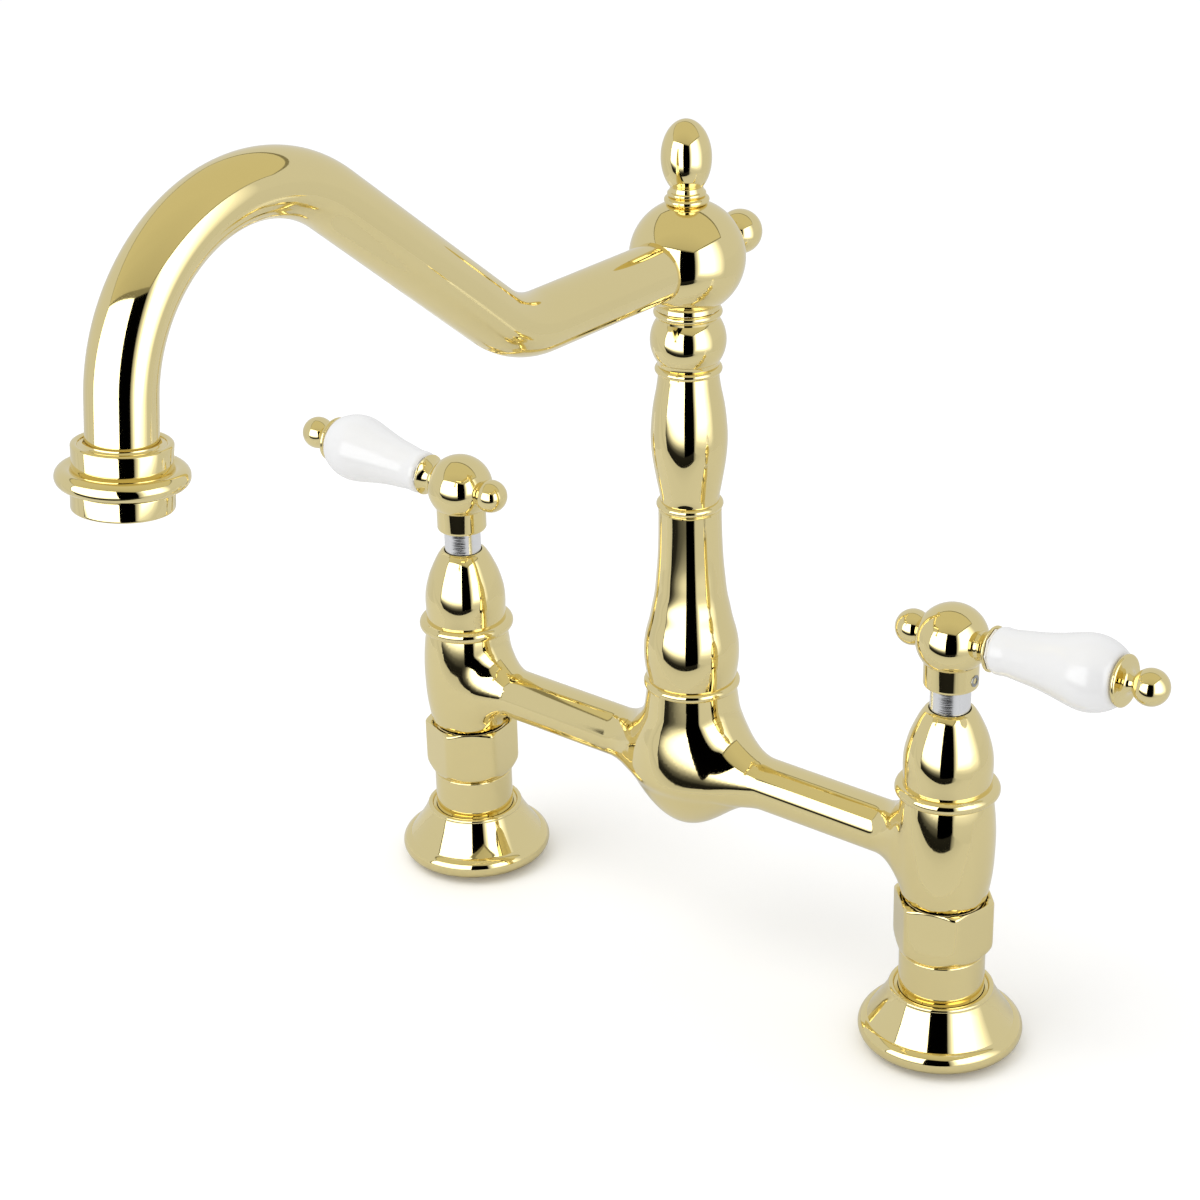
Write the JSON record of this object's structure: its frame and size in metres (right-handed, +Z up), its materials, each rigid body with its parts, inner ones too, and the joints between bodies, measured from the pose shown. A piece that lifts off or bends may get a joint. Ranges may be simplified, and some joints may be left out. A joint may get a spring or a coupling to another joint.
{
  "type": "bridge kitchen faucet",
  "caption": "Bridge kitchen faucet with a turned column, a swivelling S-bend spout and two lever valves with porcelain grips, clamped on a worktop by its inlet shanks.",
  "frame": {"origin": "on the top face of the worktop, midway between the two inlets", "axes": "+X along the bridge to the cold valve, -Y towards the sink along the spout at rest, +Z up along the column"},
  "size_m": [0.3522, 0.2864, 0.3752],
  "materials": {
    "polished_brass": "polished and lacquered, mirror bright",
    "plain_brass": "turned brass, not polished",
    "bright_chrome": "bright plated sleeve with fine turning lines",
    "steel": "plain stainless steel",
    "porcelain": "white glazed porcelain",
    "ceramic": "ground and lapped alumina ceramic",
    "nylon": "moulded nylon, natural colour",
    "rubber": "black nitrile rubber"
  },
  "bodies": {
    "faucet_body": {"bridge_casting": "polished_brass", "column": "polished_brass", "column_gasket": "rubber", "lower_o_ring": "rubber", "upper_o_ring": "rubber", "thrust_washer": "nylon", "finial": "polished_brass", "hot_escutcheon": "polished_brass", "hot_foot_gasket": "rubber", "hot_tailpiece": "polished_brass", "hot_deck_washer": "plain_brass", "hot_lock_nut": "plain_brass", "hot_union_nut": "polished_brass", "hot_union_washer": "rubber", "hot_cartridge": "plain_brass", "hot_valve_seal": "rubber", "hot_fixed_disc": "ceramic", "hot_bonnet": "polished_brass", "cold_escutcheon": "polished_brass", "cold_foot_gasket": "rubber", "cold_tailpiece": "polished_brass", "cold_deck_washer": "plain_brass", "cold_lock_nut": "plain_brass", "cold_union_nut": "polished_brass", "cold_union_washer": "rubber", "cold_cartridge": "plain_brass", "cold_valve_seal": "rubber", "cold_fixed_disc": "ceramic", "cold_bonnet": "polished_brass"},
    "spout": {"spout_hub": "polished_brass", "rear_knob": "polished_brass", "spout_tube": "polished_brass", "outlet_collar": "polished_brass", "aerator_housing": "polished_brass", "aerator_washer": "rubber", "aerator_insert": "nylon", "aerator_screen": "steel"},
    "hot_lever": {"hot_moving_disc": "ceramic", "hot_stem": "plain_brass", "hot_stem_sleeve": "bright_chrome", "hot_lever_hub": "polished_brass", "hot_grub_screw": "steel", "hot_ferrule": "polished_brass", "hot_grip_cushion": "nylon", "hot_porcelain_grip": "porcelain", "hot_end_knob": "polished_brass", "hot_tie_rod": "steel"},
    "cold_lever": {"cold_moving_disc": "ceramic", "cold_stem": "plain_brass", "cold_stem_sleeve": "bright_chrome", "cold_lever_hub": "polished_brass", "cold_grub_screw": "steel", "cold_ferrule": "polished_brass", "cold_grip_cushion": "nylon", "cold_porcelain_grip": "porcelain", "cold_end_knob": "polished_brass", "cold_tie_rod": "steel"}
  },
  "joints": [
    {"name": "spout_swivel", "type": "hinge", "parent": "faucet_body", "child": "spout", "pos_m": [0, 0, 0.2485], "axis": [0, 0, 1], "continuous": true},
    {"name": "hot_valve", "type": "hinge", "parent": "faucet_body", "child": "hot_lever", "pos_m": [-0.1016, 0, 0.1455], "axis": [0, 0, 1], "range_deg": [0, 90]},
    {"name": "cold_valve", "type": "hinge", "parent": "faucet_body", "child": "cold_lever", "pos_m": [0.1016, 0, 0.1455], "axis": [0, 0, 1], "range_deg": [-90, 0]}
  ]
}
